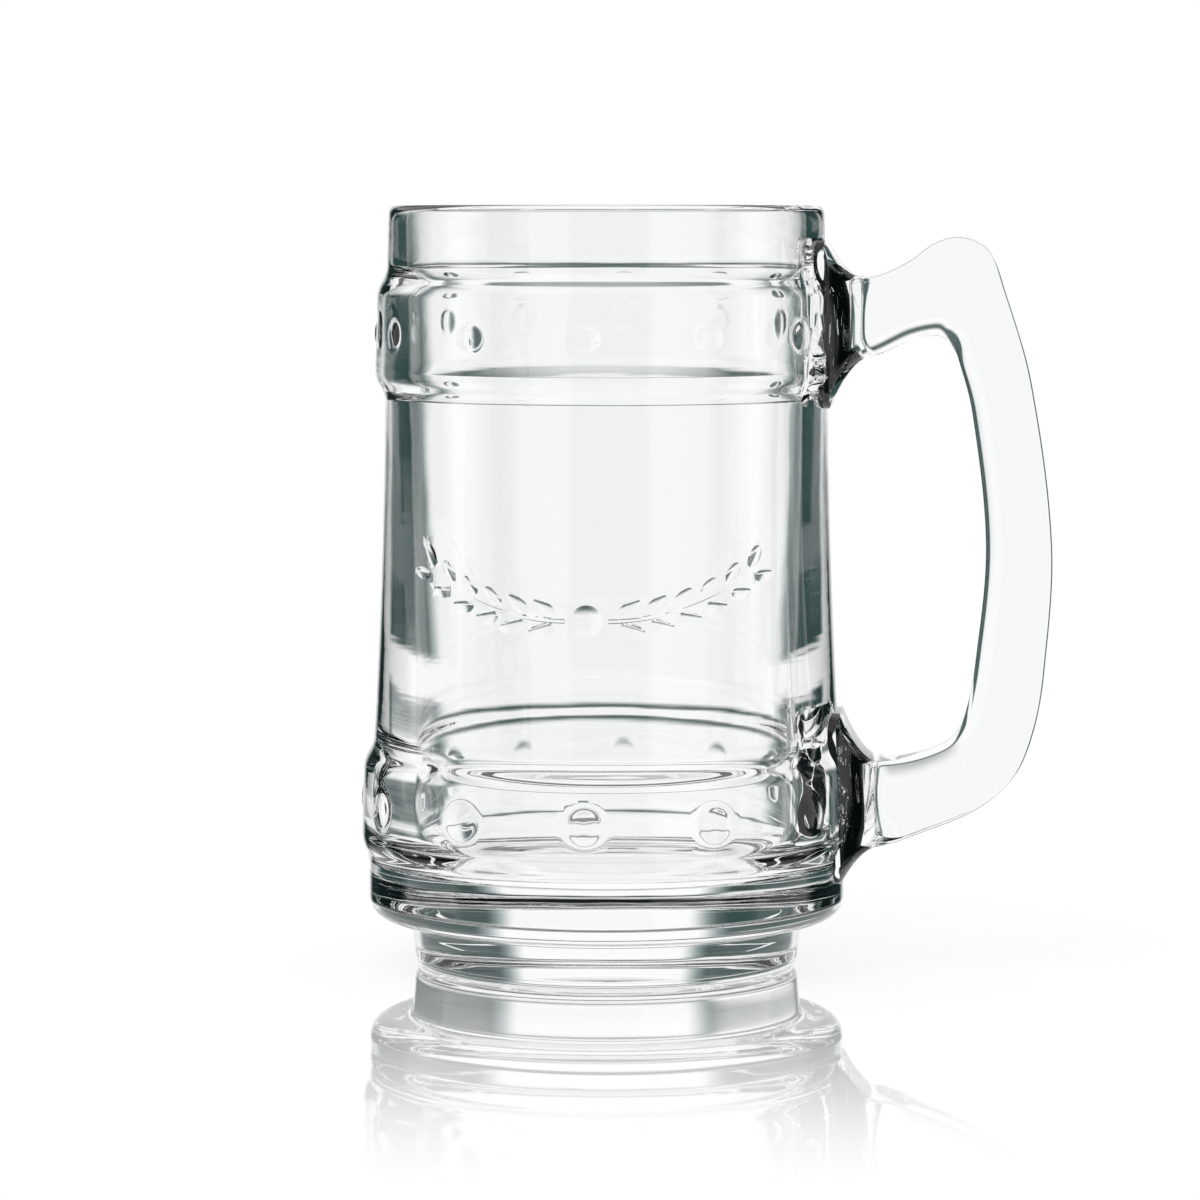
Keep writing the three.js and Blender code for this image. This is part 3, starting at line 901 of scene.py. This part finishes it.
def place_painted_shade_cards(look):
    """Cards of painted shade, which only mirrored and bent rays meet, so that they hide nothing and throw no
    shadow.
    """
    bm = bmesh.new()
    bmesh.ops.create_uvsphere(bm, u_segments=64, v_segments=32, radius=CARDS_RADIUS)
    bmesh.ops.translate(bm, vec=CARDS_MIDDLE, verts=bm.verts)
    cards = stage_piece(bm, "cards", painted_shade_card_material(look))
    cards.visible_camera = False
    cards.visible_diffuse = False
    cards.visible_shadow = False


def place_softbox():
    """One large soft lamp for the table, which doesn't show in the glass."""
    lamp = bpy.data.lights.new("softbox", "AREA")
    lamp.shape = "DISK"
    lamp.size = 0.9
    lamp.energy = 4
    softbox = bpy.data.objects.new("softbox", lamp)
    softbox.location = AXIS + Vector((-0.35, -0.5, 1.1))
    softbox.rotation_euler = (AXIS - softbox.location).to_track_quat("-Z", "Y").to_euler()
    softbox.visible_camera = False
    softbox.visible_glossy = False
    softbox.visible_transmission = False
    bpy.context.scene.collection.objects.link(softbox)


def place_camera():
    """The camera, level with the rim and turned a little round the tankard."""
    camera = bpy.data.cameras.new("camera")
    camera.lens = CAMERA_LENS
    camera.sensor_width = CAMERA_SENSOR
    camera.clip_start, camera.clip_end = 0.05, 20
    eye = bpy.data.objects.new("camera", camera)
    right = Vector((math.cos(CAMERA_TURN), math.sin(CAMERA_TURN), 0))
    back = Vector((math.sin(CAMERA_TURN), -math.cos(CAMERA_TURN), 0))
    eye.location = AXIS + back * CAMERA_BACK + Vector((0, 0, CAMERA_UP)) - right * CAMERA_LEFT
    eye.rotation_euler = (math.pi / 2 - CAMERA_PITCH, 0, CAMERA_TURN)
    bpy.context.scene.collection.objects.link(eye)
    bpy.context.scene.camera = eye


class TANKARD_OT_stage(bpy.types.Operator):
    """Make the table, the light and the camera"""

    bl_idname = "tankard.stage"
    bl_label = "Table, Light and Camera"

    def execute(self, context):
        scene = context.scene
        place_table(scene.tankard_look)
        place_painted_shade_cards(scene.tankard_look)
        place_softbox()
        place_camera()
        scene.world = studio_world(scene.tankard_look)
        scene.view_settings.view_transform = "Standard"
        # Light that is trapped in the thick roots of the handle ends dark after a few bounces
        scene.cycles.max_bounces = 6
        scene.cycles.transmission_bounces = 24
        scene.cycles.glossy_bounces = 12
        scene.cycles.transparent_max_bounces = 24
        scene.cycles.caustics_refractive = False
        scene.cycles.caustics_reflective = False
        return {"FINISHED"}


class TANKARD_PT_panel(bpy.types.Panel):
    """Sizes and steps of the tankard"""

    bl_idname = "TANKARD_PT_panel"
    bl_label = "Glass Tankard"
    bl_space_type = "VIEW_3D"
    bl_region_type = "UI"
    bl_category = "Tankard"

    def draw(self, context):
        layout = self.layout
        for group in ("tankard_bowl", "tankard_studs", "tankard_relief", "tankard_handle", "tankard_look"):
            settings = getattr(context.scene, group)
            box = layout.box()
            for name in settings.__annotations__:
                box.prop(settings, name)
        layout.operator(TANKARD_OT_bowl.bl_idname)
        layout.operator(TANKARD_OT_handle.bl_idname)
        layout.operator(TANKARD_OT_stage.bl_idname)


CLASSES = (
    TankardBowlSizes,
    TankardStudSizes,
    TankardReliefSizes,
    TankardHandleSizes,
    TankardLook,
    TANKARD_OT_bowl,
    TANKARD_OT_handle,
    TANKARD_OT_stage,
    TANKARD_PT_panel,
)


def register():
    for cls in CLASSES:
        bpy.utils.register_class(cls)
    bpy.types.Scene.tankard_bowl = bpy.props.PointerProperty(type=TankardBowlSizes)
    bpy.types.Scene.tankard_studs = bpy.props.PointerProperty(type=TankardStudSizes)
    bpy.types.Scene.tankard_relief = bpy.props.PointerProperty(type=TankardReliefSizes)
    bpy.types.Scene.tankard_handle = bpy.props.PointerProperty(type=TankardHandleSizes)
    bpy.types.Scene.tankard_look = bpy.props.PointerProperty(type=TankardLook)


def unregister():
    del bpy.types.Scene.tankard_look
    del bpy.types.Scene.tankard_handle
    del bpy.types.Scene.tankard_relief
    del bpy.types.Scene.tankard_studs
    del bpy.types.Scene.tankard_bowl
    for cls in reversed(CLASSES):
        bpy.utils.unregister_class(cls)


def main():
    register()
    bpy.ops.tankard.bowl()
    bpy.ops.tankard.handle()
    bpy.ops.tankard.stage()


if __name__ == "__main__":
    main()
